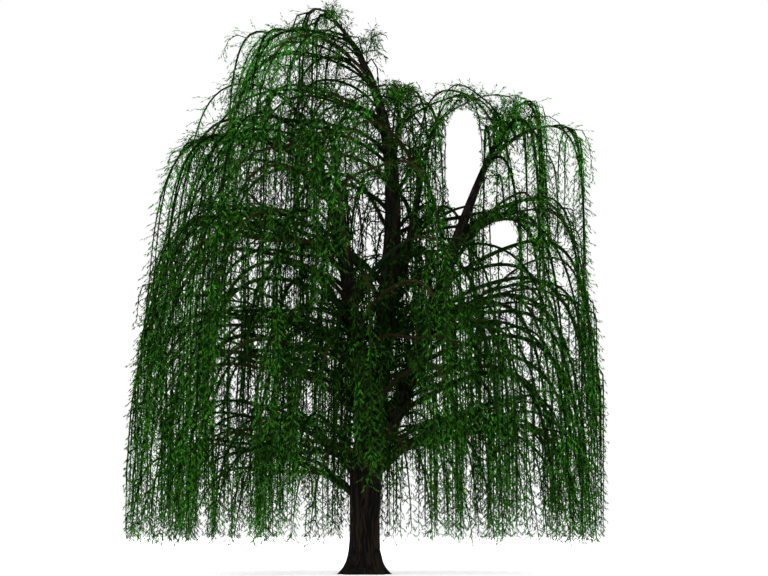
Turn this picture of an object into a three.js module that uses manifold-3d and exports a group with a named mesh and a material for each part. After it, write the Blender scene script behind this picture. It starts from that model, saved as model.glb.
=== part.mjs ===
// Weeping willow, 12 m tall, standing on the flat cut of its trunk at ground level.
// Millimetres, +Z up. The front of the tree faces -Y, and +X is to the right of who looks at it.
import * as THREE from 'three';
import { mergeVertices } from 'three/addons/utils/BufferGeometryUtils.js';
import Module from 'manifold-3d';

const wasm = await Module();
wasm.setup();

// Clear space between two solids that touch, such as a bough and what it stands on
const SEAT_GAP = 0.3;

// Trunk: flare at the foot, waist, and a slight swell below the fork
const TRUNK_HEIGHT = 2750;
const TRUNK_LEAN = 45;
const WAIST_RADIUS = 298;
const ROOT_FLARE = 240;
const ROOT_FLARE_HEIGHT = 260;
const ROOT_LOBES = 5;
const ROOT_LOBE_DEPTH = 0.13;
const FORK_SWELL = 60;
const TRUNK_SIDES = 20;
const TRUNK_RINGS = 9;
const TRUNK_RING_SPACING = 1.5;
const TRUNK_CROWNING = 0.3;

// Leaders: the upright stems that the trunk forks into. A leader sets off at the angle
// leave above the level, turned by swing from the way to its tip, and arrives at the angle arrive.
// Azimuth is counted from +X towards +Y, round the foot of the trunk.
const LEADERS = [
  { name: 'leader_center', parent: 'trunk', foot: 2200, azimuth: 180, reach: 700, tip: 11750,
    leave: 84, arrive: 48, swing: 180, thick: 250, thin: 24, strands: 3, spray: 1100, droop: -0.2 },
  { name: 'leader_right', parent: 'trunk', foot: 2150, azimuth: 0, reach: 3150, tip: 9800,
    leave: 60, arrive: 60, swing: 0, thick: 195, thin: 22 },
  { name: 'leader_left', parent: 'trunk', foot: 2250, azimuth: 172, reach: 1590, tip: 10000,
    leave: 84, arrive: 60, swing: 8, thick: 175, thin: 22 },
  { name: 'leader_front', parent: 'trunk', foot: 2200, azimuth: 252, reach: 2300, tip: 9150,
    leave: 62, arrive: 60, swing: 12, thick: 150, thin: 20, out: 900, strands: 2 },
  { name: 'leader_back', parent: 'trunk', foot: 2300, azimuth: 70, reach: 2300, tip: 10050,
    leave: 64, arrive: 62, swing: -10, thick: 160, thin: 20, out: 800 },
  { name: 'leader_mid_right', parent: 'leader_center', foot: 5500, azimuth: 352, reach: 1700, tip: 9900,
    leave: 60, arrive: 62, swing: -10, thick: 95, thin: 16, out: 850, hang: 2600, spray: 1100 },
];
const LEADER_TAPER = 1.7;
const LEADER_SIDES = 7;
const LEADER_STEP = 880;

// Boughs arch out from the trunk and the leaders, tier over tier, and end at their crest.
// The stem of the foliage then goes on outwards by out and hangs down.
const TIERS = {
  low: { reach: 2600, leave: 56, arrive: 10, thick: 72, thin: 26,
    out: 2150, hang: 4000, branches: 2, strands: 2, spray: 1400, droop: 0.9 },
  mid: { reach: 2750, leave: 56, arrive: 12, thick: 66, thin: 26,
    out: 2050, hang: 4800, branches: 2, strands: 2, spray: 1700, droop: 0.9 },
  high: { reach: 2700, leave: 52, arrive: 12, thick: 58, thin: 24,
    out: 1850, hang: 4800, branches: 2, strands: 2, spray: 1700, droop: 0.9 },
  top: { reach: 1450, leave: 50, arrive: 8, thick: 40, thin: 20,
    out: 1450, hang: 4200, branches: 2, strands: 2, spray: 1500, droop: 0.8 },
  tip: { out: 620, hang: 4000, branches: 2, strands: 1, spray: 1500, droop: 1.3 },
};
const BOUGHS = [
  { name: 'low_left', tier: 'low', parent: 'trunk', foot: 1380, azimuth: 184, tip: 2720, reach: 2950 },
  { name: 'low_front_left', tier: 'low', parent: 'trunk', foot: 1950, azimuth: 232, tip: 3150 },
  { name: 'low_front', tier: 'low', parent: 'trunk', foot: 1650, azimuth: 283, tip: 2900 },
  { name: 'low_right', tier: 'low', parent: 'trunk', foot: 2000, azimuth: 346, tip: 3120, reach: 2850 },
  { name: 'low_back_right', tier: 'low', parent: 'trunk', foot: 1700, azimuth: 35, tip: 3200 },
  { name: 'low_back', tier: 'low', parent: 'trunk', foot: 1900, azimuth: 86, tip: 2850 },
  { name: 'low_back_left', tier: 'low', parent: 'trunk', foot: 1700, azimuth: 136, tip: 3250 },
  { name: 'mid_left', tier: 'mid', parent: 'leader_left', foot: 3500, azimuth: 163, tip: 4560, reach: 2950 },
  { name: 'mid_front_left', tier: 'mid', parent: 'leader_left', foot: 4500, azimuth: 208, tip: 5520 },
  { name: 'mid_front', tier: 'mid', parent: 'leader_front', foot: 3700, azimuth: 258, tip: 4800 },
  { name: 'mid_front_right', tier: 'mid', parent: 'leader_front', foot: 4400, azimuth: 312, tip: 5350 },
  { name: 'mid_right', tier: 'mid', parent: 'leader_right', foot: 4800, azimuth: 5, tip: 5980, reach: 3200 },
  { name: 'mid_back_right', tier: 'mid', parent: 'leader_back', foot: 3900, azimuth: 60, tip: 4900 },
  { name: 'mid_back_left', tier: 'mid', parent: 'leader_back', foot: 4500, azimuth: 112, tip: 5600 },
  { name: 'high_left', tier: 'high', parent: 'leader_left', foot: 6300, azimuth: 188, tip: 7480,
    reach: 2850 },
  { name: 'upper_left', tier: 'high', parent: 'leader_left', foot: 8300, azimuth: 172, tip: 9200,
    reach: 2500 },
  { name: 'high_right', tier: 'high', parent: 'leader_right', foot: 6800, azimuth: 350, tip: 7650,
    reach: 3400, out: 1550 },
  { name: 'upper_right', tier: 'high', parent: 'leader_right', foot: 8600, azimuth: 6, tip: 9420,
    reach: 3750, out: 1000 },
  { name: 'high_front_left', tier: 'high', parent: 'leader_front', foot: 6400, azimuth: 232, tip: 7600 },
  { name: 'high_front_right', tier: 'high', parent: 'leader_front', foot: 5700, azimuth: 292, tip: 7050 },
  { name: 'high_back_right', tier: 'high', parent: 'leader_back', foot: 6500, azimuth: 38, tip: 7750 },
  { name: 'high_back_left', tier: 'high', parent: 'leader_back', foot: 6000, azimuth: 132, tip: 7350 },
  { name: 'top_left', tier: 'top', parent: 'leader_center', foot: 10450, azimuth: 182, tip: 11450 },
];
const BOUGH_TAPER = 1.2;
const BOUGH_SIDES = 5;
const BOUGH_STEP = 860;

// Collar: a limb is wider where it grows out of another
const COLLAR_SWELL = 0.35;
const COLLAR_LENGTH = 260;

// Foliage: the stem of a mass throws branches to either side, strands hang from all of them,
// and sprays of leaves hang along each strand
const TREE_HEIGHT = 12000;
const SKIRT_HEIGHT = 670;
const SKIRT_STAGGER = 380;
const PARTING_HALF_WIDTH = 1700;
const PARTING_HEIGHT = 1500;
const CROWN_REACH = 5150;
const SPACE_HALF_ANGLE = 28;
const SPACE_HALF_WIDTH = 1250;
const STEM_LIFT = 0.9;
const BRANCH_BENDS = [0.7, 2];
const STRAND_BENDS = [1.1];
const BRANCH_RADIUS = 14;
const STRAND_RADIUS = 9;
const TIP_RADIUS = 7;
const STRAND_SHORTEST = 900;
const STRAND_TRIES = 12;
const STRAND_CUT = 300;
const ROOM = 12;
const SPRAY_SLIMNESS = 4.0;
const SPRAY_WIDEST = 0.45;
const SPRAY_THICKNESS = 34;
const SPRAY_STEP = 0.9;
const SPRAY_START = 0.25;
const SPRAY_ANGLE = 17;
const SPRAY_TURN = 137.5;
const SPRAY_ROOM = 90;
const SPRAY_TRIES = 4;
const SPRAY_SHORTENED = 0.88;

// Finishes
const BARK = { color: 0x2b2219, roughness: 0.92, metalness: 0 };
const BOUGH_BARK = { color: 0x2a2a18, roughness: 0.88, metalness: 0 };
const LEAVES = { color: 0x24460f, roughness: 0.6, metalness: 0 };

const UP = new THREE.Vector3(0, 0, 1);
const radians = THREE.MathUtils.degToRad;

// Seeded dice: the tree grows alike each time
function dice(seed) {
  let state = seed;
  return (low, high) => {
    state = (state * 48271) % 2147483647;
    return low + (high - low) * state / 2147483647;
  };
}

// Unit vector at an azimuth and an elevation, in degrees
function heading(azimuth, elevation) {
  const level = Math.cos(radians(elevation));
  return new THREE.Vector3(
    level * Math.cos(radians(azimuth)),
    level * Math.sin(radians(azimuth)),
    Math.sin(radians(elevation)),
  );
}

// Cylinder bent along a line of points, with a radius for each point and each side
function bentCylinder(points, radiusAt, sides) {
  const rings = points.length - 1;
  const geometry = new THREE.CylinderGeometry(1, 1, 1, sides, rings);
  const frames = [];
  let side = new THREE.Vector3(0, 1, 0);
  points.forEach((point, ring) => {
    const before = points[Math.max(ring - 1, 0)];
    const after = points[Math.min(ring + 1, rings)];
    const along = after.clone().sub(before).normalize();
    side = side.clone().addScaledVector(along, -side.dot(along)).normalize();
    frames.push({ point, side, across: side.clone().cross(along) });
  });
  const corners = geometry.attributes.position;
  for (let i = 0; i < corners.count; i += 1) {
    const ring = Math.round((corners.getY(i) + 0.5) * rings);
    const frame = frames[ring];
    const turn = Math.atan2(corners.getZ(i), corners.getX(i));
    const radius = radiusAt(ring / rings, turn);
    const corner = frame.point.clone();
    corner.addScaledVector(frame.side, corners.getX(i) * radius);
    corner.addScaledVector(frame.across, corners.getZ(i) * radius);
    corners.setXYZ(i, corner.x, corner.y, corner.z);
  }
  return geometry;
}

// Closed solid of a geometry
function solidOf(geometry) {
  geometry.deleteAttribute('normal');
  geometry.deleteAttribute('uv');
  const merged = mergeVertices(geometry, 0.001);
  return new wasm.Manifold(new wasm.Mesh({
    numProp: 3,
    vertProperties: Float32Array.from(merged.attributes.position.array),
    triVerts: Uint32Array.from(merged.index.array),
  }));
}

// Largest body of a solid: a loose scrap or a sealed hollow isn't kept
function largestBody(solid) {
  const bodies = solid.decompose();
  return bodies.reduce((best, body) => (body.volume() > best.volume() ? body : best));
}

// Trunk: its middle line leans a little, and lobes run up its flare
const trunkAxis = new THREE.QuadraticBezierCurve3(
  new THREE.Vector3(0, 0, 0),
  new THREE.Vector3(0, 0, TRUNK_HEIGHT / 2),
  new THREE.Vector3(TRUNK_LEAN, 0, TRUNK_HEIGHT),
);

function trunkRadius(ringShare, turn) {
  const along = ringShare ** TRUNK_RING_SPACING;
  const height = along * TRUNK_HEIGHT;
  const flare = Math.exp(-height / ROOT_FLARE_HEIGHT);
  const lobe = 1 + ROOT_LOBE_DEPTH * flare * Math.cos(ROOT_LOBES * turn);
  const crowning = 1 - TRUNK_CROWNING * Math.max(0, along - 0.9) / 0.1;
  return (WAIST_RADIUS + ROOT_FLARE * flare + FORK_SWELL * along * along) * lobe * crowning;
}

// Rings stand closer together in the flare. The first stretch is upright, so the cut is level.
function trunkPoints() {
  const points = [];
  for (let ring = 0; ring <= TRUNK_RINGS; ring += 1) {
    points.push(trunkAxis.getPoint((ring / TRUNK_RINGS) ** TRUNK_RING_SPACING));
  }
  points[1].setX(0);
  return points;
}

// Point of an upright curve at a height
function pointAtHeight(curve, height) {
  let low = 0;
  let high = 1;
  while (high - low > 1e-6) {
    const middle = (low + high) / 2;
    if (curve.getPoint(middle).z < height) {
      low = middle;
    } else {
      high = middle;
    }
  }
  return curve.getPoint(low);
}

// Curve of a limb from the middle line of what carries it to its tip
function limbCurve(limb, parentCurve) {
  const foot = pointAtHeight(parentCurve, limb.foot);
  const tip = heading(limb.azimuth, 0).multiplyScalar(limb.reach).setZ(limb.tip);
  const level = tip.clone().sub(foot).setZ(0);
  const azimuth = THREE.MathUtils.radToDeg(Math.atan2(level.y, level.x));
  const handle = foot.distanceTo(tip) / 3;
  const leaving = heading(azimuth + limb.swing, limb.leave).multiplyScalar(handle);
  const arriving = heading(azimuth, limb.arrive).multiplyScalar(handle);
  return new THREE.CubicBezierCurve3(foot, foot.clone().add(leaving), tip.clone().sub(arriving), tip);
}

function limbRadius(limb, length, along) {
  const collar = 1 + COLLAR_SWELL * Math.exp(-along * length / COLLAR_LENGTH / (limb.thick / 100));
  return (limb.thick + (limb.thin - limb.thick) * along ** limb.taper) * collar;
}

// Straight round-ended pieces that stand for a limb or twig when room is looked for
function capsulesOf(points, radiusAt) {
  const capsules = [];
  for (let i = 1; i < points.length; i += 1) {
    const radius = Math.max(radiusAt(i - 1), radiusAt(i));
    capsules.push({ from: points[i - 1], to: points[i], radius });
  }
  return capsules;
}

// Shortest distance between two straight lines with ends
function lineDistance(a, b) {
  const u = a.to.clone().sub(a.from);
  const v = b.to.clone().sub(b.from);
  const w = a.from.clone().sub(b.from);
  const uu = u.dot(u);
  const uv = u.dot(v);
  const vv = v.dot(v);
  const clamp = THREE.MathUtils.clamp;
  let s = clamp((uv * v.dot(w) - vv * u.dot(w)) / Math.max(uu * vv - uv * uv, 1e-9), 0, 1);
  const t = clamp((uv * s + v.dot(w)) / vv, 0, 1);
  s = clamp((uv * t - u.dot(w)) / uu, 0, 1);
  return w.addScaledVector(u, s).addScaledVector(v, -t).length();
}

function touches(pieces, others) {
  return pieces.some((piece) => others.some(
    (other) => lineDistance(piece, other) < piece.radius + other.radius + ROOM,
  ));
}

// True where a spray, with some air about it, would cut a solid that has already grown
function clashes(spray, taken) {
  const near = { ...spray, radius: spray.reach };
  const solids = new Set(taken.filter((other) => touches([near], [other])).map(({ solid }) => solid));
  const airy = spraySolid(spray, ROOM);
  return [...solids].some((solid) => !solid.intersect(airy).isEmpty());
}

// Line of a stem or strand: thrown out level by out, lifted at first, then hanging straight down
function castPoint(cast, travelled) {
  const thrown = cast.out * (1 - Math.exp(-travelled / cast.out));
  const point = cast.start.clone().addScaledVector(cast.way, thrown);
  point.z -= travelled - (1 + cast.lift) * thrown;
  return point;
}

function castLength(cast, floor) {
  return cast.start.z - floor + (1 + cast.lift) * cast.out;
}

// Few stops along the line, closer together where it bends
function castStops(cast, length) {
  return [0, ...cast.bends.map((bend) => bend * cast.out).filter((stop) => stop < 0.9 * length), length];
}

function castPoints(cast, length) {
  return castStops(cast, length).map((stop) => castPoint(cast, stop));
}

// Place and direction on the straight stretches between the stops
function onCast(cast, travelled) {
  const stops = castStops(cast, cast.length);
  const next = Math.max(stops.findIndex((stop) => stop > travelled), 1);
  const from = castPoint(cast, stops[next - 1]);
  const along = castPoint(cast, stops[next]).sub(from);
  const share = (travelled - stops[next - 1]) / (stops[next] - stops[next - 1]);
  return { point: from.addScaledVector(along, share), along: along.normalize() };
}

// Spray of leaves: a blade of eight faces on the middle line from its root to its tip
function spraySolid(spray, wider) {
  const geometry = new THREE.OctahedronGeometry(1);
  const corners = geometry.attributes.position;
  for (let i = 0; i < corners.count; i += 1) {
    const along = Math.abs(corners.getY(i)) > 0.5 ? 0.5 + corners.getY(i) / 2 : SPRAY_WIDEST;
    corners.setY(i, along);
  }
  const along = spray.to.clone().sub(spray.from);
  const side = spray.side.clone().setLength(along.length() / SPRAY_SLIMNESS / 2 + wider);
  const across = side.clone().cross(along).setLength(SPRAY_THICKNESS / 2 + wider);
  const placing = new THREE.Matrix4().makeBasis(side, along, across).setPosition(spray.from);
  return solidOf(geometry.applyMatrix4(placing));
}

// Spray at a place on a strand, standing off it to one side, edge on to the strand
function sprayAt(cast, travelled, length, turn, droop) {
  const { point, along } = onCast(cast, travelled);
  along.addScaledVector(UP, -droop).normalize();
  const out = heading(turn, 0);
  out.addScaledVector(along, -out.dot(along)).normalize();
  const spread = radians(SPRAY_ANGLE);
  const way = along.clone().multiplyScalar(Math.cos(spread)).addScaledVector(out, Math.sin(spread));
  const side = out.clone().multiplyScalar(Math.cos(spread)).addScaledVector(along, -Math.sin(spread));
  return {
    from: point,
    to: point.clone().addScaledVector(way, length),
    side,
    radius: SPRAY_ROOM,
    reach: length / SPRAY_SLIMNESS / 2,
  };
}

// Foliage keeps to its own space: a wedge of the crown about the upright plane of its stem
function leavesSpace(pieces, space) {
  return pieces.some(({ to }) => {
    const reach = Math.hypot(to.x, to.y);
    const aside = Math.abs(to.clone().sub(space.middle).dot(space.side));
    const wedge = Math.max(SPACE_HALF_WIDTH, reach * Math.sin(radians(SPACE_HALF_ANGLE)));
    return aside > wedge || reach > CROWN_REACH || to.z < SKIRT_HEIGHT - 20 || to.z > TREE_HEIGHT;
  });
}

// Longest hang that a stem or strand finds room for, or nothing. The foot of a stem sits on its limb.
function lengthWithRoom(cast, floor, space, taken) {
  for (let length = castLength(cast, floor); length > cast.shortest; length -= STRAND_CUT) {
    const pieces = capsulesOf(castPoints(cast, length), () => cast.thick);
    if (!touches(cast.seat ? pieces.slice(1) : pieces, taken) && !leavesSpace(pieces, space)) {
      return length;
    }
  }
  return 0;
}

// Height that a stem or strand hangs down to. The skirt is higher before and behind the trunk.
function hangFloor({ start, way, out }, hang, random) {
  const aside = Math.abs(start.x + way.x * out) / PARTING_HALF_WIDTH;
  const skirt = SKIRT_HEIGHT + PARTING_HEIGHT * Math.max(0, 1 - aside);
  return Math.max(start.z - hang * random(0.8, 1), skirt) + random(0, SKIRT_STAGGER);
}

// Stem, branches and strands of a mass, each thrown out from one that came before
function castsOf(limb, tip, way, space, random, taken) {
  const level = way.clone().setZ(0).normalize();
  const stem = {
    seat: tip.clone().addScaledVector(way, SEAT_GAP),
    start: tip.clone().addScaledVector(way, 2 * limb.thin),
    way: level,
    out: limb.out,
    lift: Math.min(way.z / Math.hypot(way.x, way.y), STEM_LIFT),
    thick: limb.thin,
    bends: BRANCH_BENDS,
    shortest: 0.8 * limb.out,
  };
  stem.length = lengthWithRoom(stem, hangFloor(stem, limb.hang, random), space, taken)
    || stem.shortest;
  const casts = [stem];
  for (let order = 0; order < limb.branches + limb.strands; order += 1) {
    const branch = order < limb.branches;
    for (let attempt = 0; attempt < STRAND_TRIES; attempt += 1) {
      const parent = branch ? stem : casts[Math.floor(random(0, casts.length))];
      const at = parent.out * (branch ? random(0.1, 0.6) : random(0.2, 1.5));
      const aside = (order % 2 ? 1 : -1) * (branch ? random(25, 60) : random(30, 110));
      const out = branch ? limb.out * random(0.55, 0.9) : random(180, 480);
      const cast = {
        start: onCast(parent, Math.min(at, 0.8 * parent.length)).point,
        way: parent.way.clone().applyAxisAngle(UP, radians(aside)),
        out,
        lift: random(0.1, 0.4),
        thick: branch ? BRANCH_RADIUS : STRAND_RADIUS,
        bends: branch ? BRANCH_BENDS : STRAND_BENDS,
        shortest: out + STRAND_SHORTEST,
      };
      cast.length = lengthWithRoom(cast, hangFloor(cast, limb.hang, random), space, taken);
      if (cast.length > 0) {
        casts.push(cast);
        break;
      }
    }
  }
  return casts;
}

// Places of the sprays along a strand, evenly from its end up to near its start
function sprayPlaces(cast, spray) {
  const first = SPRAY_START * spray;
  const last = cast.length - 0.97 * spray;
  const gaps = Math.max(Math.round((last - first) / (SPRAY_STEP * spray)), 1);
  return Array.from({ length: gaps + 1 }, (_, order) => last + (first - last) * order / gaps);
}

// One mass: a stem that goes on from the limb's tip, its branches and strands, and their sprays.
// A spray is turned, and made a little shorter, until it fits.
function growMass(limb, points, random, taken) {
  const tip = points.at(-1);
  const way = tip.clone().sub(points.at(-2)).normalize();
  const space = { middle: tip.clone(), side: way.clone().cross(UP).normalize() };
  const pieces = [];
  let solid = null;
  for (const cast of castsOf(limb, tip, way, space, random, taken)) {
    const line = castPoints(cast, cast.length);
    if (cast.seat) {
      line.unshift(cast.seat);
    }
    const radiusAt = (along) => cast.thick + (TIP_RADIUS - cast.thick) * along;
    const twig = solidOf(bentCylinder(line, radiusAt, 3));
    solid = solid ? solid.add(twig) : twig;
    const others = [...pieces];
    pieces.push(...capsulesOf(line, () => cast.thick));
    let turn = random(0, 360);
    for (const at of sprayPlaces(cast, limb.spray)) {
      for (let attempt = 0; attempt < SPRAY_TRIES; attempt += 1) {
        turn += SPRAY_TURN;
        const spray = sprayAt(cast, at, limb.spray * SPRAY_SHORTENED ** attempt, turn, limb.droop);
        if (!touches([spray], others) && !leavesSpace([spray], space) && !clashes(spray, taken)) {
          solid = solid.add(spraySolid(spray, 0));
          pieces.push(spray);
          break;
        }
      }
    }
  }
  return { solid: largestBody(solid), pieces };
}

// Tree: the trunk, then the limbs in the order they grow on each other, then the foliage
const tree = new THREE.Group();
tree.name = 'weeping_willow';

function addMesh(name, solid, finish) {
  const { vertProperties, triVerts } = solid.getMesh();
  const geometry = new THREE.BufferGeometry();
  geometry.setAttribute('position', new THREE.BufferAttribute(vertProperties, 3));
  geometry.setIndex(new THREE.BufferAttribute(triVerts, 1));
  geometry.computeVertexNormals();
  const mesh = new THREE.Mesh(geometry, new THREE.MeshStandardMaterial(finish));
  mesh.name = name;
  tree.add(mesh);
}

const curves = { trunk: trunkAxis };
const lines = {};
const taken = [];
let wood = null;

// A line of points made longer at both ends
function lengthened(points, by) {
  const last = points.length - 1;
  const longer = [...points];
  const footward = points[0].clone().sub(points[1]).setLength(by);
  const tipward = points[last].clone().sub(points[last - 1]).setLength(by);
  longer[0] = points[0].clone().add(footward);
  longer[last] = points[last].clone().add(tipward);
  return longer;
}

function addWood(name, points, radiusAt, sides, finish) {
  const raw = solidOf(bentCylinder(points, radiusAt, sides));
  const solid = wood ? largestBody(raw.subtract(wood)) : raw;
  const widerRadius = (along, turn) => radiusAt(along, turn) + 2 * SEAT_GAP;
  const wider = solidOf(bentCylinder(lengthened(points, 2 * SEAT_GAP), widerRadius, sides));
  wood = wood ? wood.add(wider) : wider;
  const capsules = capsulesOf(points, (i) => radiusAt(i / (points.length - 1), 0));
  taken.push(...capsules.map((capsule) => ({ ...capsule, solid })));
  addMesh(name, solid, finish);
}

addWood('trunk', trunkPoints(), trunkRadius, TRUNK_SIDES, BARK);

const limbs = [
  ...LEADERS.map((leader) => ({ ...TIERS.tip, ...leader, taper: LEADER_TAPER })),
  ...BOUGHS.map((bough) => ({
    swing: 0, ...TIERS[bough.tier], ...bough, name: `bough_${bough.name}`, taper: BOUGH_TAPER,
  })),
];

for (const limb of limbs) {
  const curve = limbCurve(limb, curves[limb.parent]);
  curves[limb.name] = curve;
  const leader = limb.taper === LEADER_TAPER;
  const steps = Math.round(curve.getLength() / (leader ? LEADER_STEP : BOUGH_STEP));
  const radiusAt = (along) => limbRadius(limb, curve.getLength(), along);
  const points = curve.getSpacedPoints(steps);
  lines[limb.name] = points;
  addWood(limb.name, points, radiusAt, leader ? LEADER_SIDES : BOUGH_SIDES, leader ? BARK : BOUGH_BARK);
}

[...limbs].sort((a, b) => a.tip - b.tip).forEach((limb, order) => {
  const random = dice(104729 * (order + 1));
  const { solid, pieces } = growMass(limb, lines[limb.name], random, taken);
  taken.push(...pieces.map((piece) => ({ ...piece, solid, radius: piece.reach ?? piece.radius })));
  addMesh(`foliage_${limb.name.replace('bough_', '')}`, solid, LEAVES);
});

export default tree;
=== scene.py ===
# Weeping willow, 12 m tall, dressed over its solids. Metres, +Z up; the front of the tree faces -Y.
import math

import bpy
import numpy as np
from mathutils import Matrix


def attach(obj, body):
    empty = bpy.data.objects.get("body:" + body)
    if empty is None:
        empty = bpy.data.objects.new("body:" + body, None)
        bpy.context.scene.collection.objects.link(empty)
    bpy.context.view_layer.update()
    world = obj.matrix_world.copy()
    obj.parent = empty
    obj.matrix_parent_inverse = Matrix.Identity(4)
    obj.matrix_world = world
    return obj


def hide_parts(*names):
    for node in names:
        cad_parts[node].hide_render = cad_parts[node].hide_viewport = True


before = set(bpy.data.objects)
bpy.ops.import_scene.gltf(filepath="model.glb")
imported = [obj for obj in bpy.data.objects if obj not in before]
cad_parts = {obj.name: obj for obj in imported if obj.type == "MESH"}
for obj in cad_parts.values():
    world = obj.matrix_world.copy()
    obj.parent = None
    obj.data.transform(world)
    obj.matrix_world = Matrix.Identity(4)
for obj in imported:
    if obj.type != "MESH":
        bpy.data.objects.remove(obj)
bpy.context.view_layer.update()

scene = bpy.context.scene


# Camera: level with the middle of the tree and far off, so that the tree shows with no
# vanishing lines. The picture is 768 by 576 points, and one point is 21 mm of the tree.
PICTURE = (768, 576)
POINT = 0.02105
TRUNK_FOOT_IN_PICTURE = (364.5, 574.3)
CAMERA_DISTANCE = 300
CAMERA_FILM = 36
CAMERA_SEES_TO = 2000

camera_data = bpy.data.cameras.new("camera")
camera_data.sensor_width = CAMERA_FILM
camera_data.lens = CAMERA_FILM * CAMERA_DISTANCE / (PICTURE[0] * POINT)
camera_data.clip_end = CAMERA_SEES_TO
camera = bpy.data.objects.new("camera", camera_data)
camera.location = (
    (PICTURE[0] / 2 - TRUNK_FOOT_IN_PICTURE[0]) * POINT,
    -CAMERA_DISTANCE,
    (TRUNK_FOOT_IN_PICTURE[1] - PICTURE[1] / 2) * POINT,
)
camera.rotation_euler = (math.pi / 2, 0, 0)
scene.collection.objects.link(camera)
scene.camera = camera


# Studio: an even white sky all round and a plain pale floor. Two broad soft suns: a strong
# one from the upper left of the front, and a weak one from the front, nearly level.
SKY_LIGHT = 1.0
SUNS = [
    # name, strength, width of its disc, tilt from overhead, turn
    ("sun", 2.6, 25, 48, -35),
    ("fill", 1.3, 25, 80, 8),
]
FLOOR_SIZE = 90
FLOOR_COLOUR = (0.9, 0.9, 0.9, 1)
FLOOR_ROUGHNESS = 0.9
FLOOR_GLOW = 0.42

scene.view_settings.view_transform = "Standard"
world = bpy.data.worlds.new("studio")
world.use_nodes = True
world.node_tree.nodes["Background"].inputs["Color"].default_value = (1, 1, 1, 1)
world.node_tree.nodes["Background"].inputs["Strength"].default_value = SKY_LIGHT
scene.world = world

for name, strength, width, tilt, turn in SUNS:
    light_data = bpy.data.lights.new(name, "SUN")
    light_data.energy = strength
    light_data.angle = math.radians(width)
    light = bpy.data.objects.new(name, light_data)
    light.rotation_euler = (math.radians(tilt), 0, math.radians(turn))
    scene.collection.objects.link(light)

floor_data = bpy.data.meshes.new("floor")
half = FLOOR_SIZE / 2
floor_data.from_pydata(
    [(-half, -half, 0), (half, -half, 0), (half, half, 0), (-half, half, 0)], [], [(0, 1, 2, 3)]
)
floor = bpy.data.objects.new("floor", floor_data)
floor_paint = bpy.data.materials.new("floor_paint")
floor_paint.use_nodes = True
floor_shader = floor_paint.node_tree.nodes["Principled BSDF"]
floor_shader.inputs["Base Color"].default_value = FLOOR_COLOUR
floor_shader.inputs["Roughness"].default_value = FLOOR_ROUGHNESS
floor_shader.inputs["Emission Color"].default_value = FLOOR_COLOUR
floor_shader.inputs["Emission Strength"].default_value = FLOOR_GLOW
floor_data.materials.append(floor_paint)
scene.collection.objects.link(floor)


# Trunk: one short thick stem of willow wood. It leans a little, flares in five lobes into
# its roots, and its old bark is split into long upright ridges with deep furrows between.
TRUNK_HEIGHT = 2.75
TRUNK_LEAN = 0.045
WAIST_RADIUS = 0.298
ROOT_FLARE = 0.24
ROOT_FLARE_HEIGHT = 0.26
ROOT_LOBES = 5
ROOT_LOBE_DEPTH = 0.13
FORK_SWELL = 0.06
TRUNK_CROWNING = 0.3
TRUNK_CROWNED_SHARE = 0.1
TRUNK_SIDES = 144
TRUNK_RINGS = 150
TRUNK_RING_CROWDING = 1.15
TRUNK_FURROW = 0.018
TRUNK_RIDGES = 52
TRUNK_RIDGE_LENGTH = 0.34
TRUNK_BARK_SEED = 11
BARK_LEVEL = 0.6
BARK_DARK = (0.0011, 0.00105, 0.001)
BARK_MIDDLE = (0.0035, 0.003, 0.0024)
BARK_LIGHT = (0.0172, 0.0112, 0.0062)
BARK_STOPS = (0.12, 0.42, 0.78)
BARK_STREAKS = {"Scale": 1.0, "Detail": 6.0, "Roughness": 0.65}
BARK_GRAIN = {"Scale": 70.0, "Detail": 4.0}
BARK_PATCHES = {"Scale": 1.7, "Detail": 2.0}
BARK_BUMP_STRENGTH = 0.7
BARK_SHINE = 0.05
TRUNK_BARK_STRETCH = (42, 42, 5)
TRUNK_BARK_BUMP = 0.02


class Wire:
    """A socket of a finish's nodes. Arithmetic on wires adds Math nodes."""

    def __init__(self, socket):
        self.socket = socket

    def node(self, kind, settings, inputs, output=0):
        made = self.socket.id_data.nodes.new(kind)
        for name, value in settings.items():
            if name == "stops":
                ramp = made.color_ramp.elements
                ramp[0].position, ramp[0].color = value[0]
                ramp[1].position, ramp[1].color = value[-1]
                for position, color in value[1:-1]:
                    ramp.new(position).color = color
            else:
                setattr(made, name, value)
        for name, value in inputs.items():
            if isinstance(value, Wire):
                self.socket.id_data.links.new(value.socket, made.inputs[name])
            else:
                made.inputs[name].default_value = value
        return Wire(made.outputs[output])

    def to(self, socket):
        self.socket.id_data.links.new(self.socket, socket)

    def maths(self, operation, first, second):
        return self.node("ShaderNodeMath", {"operation": operation}, {0: first, 1: second})

    def __add__(self, other):
        return self.maths("ADD", self, other)

    def __sub__(self, other):
        return self.maths("SUBTRACT", self, other)

    def __rsub__(self, other):
        return self.maths("SUBTRACT", other, self)

    def __mul__(self, other):
        return self.maths("MULTIPLY", self, other)

    def __rmul__(self, other):
        return self.maths("MULTIPLY", other, self)

    __radd__ = __add__


def opaque(colour):
    return (*colour, 1)


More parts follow.
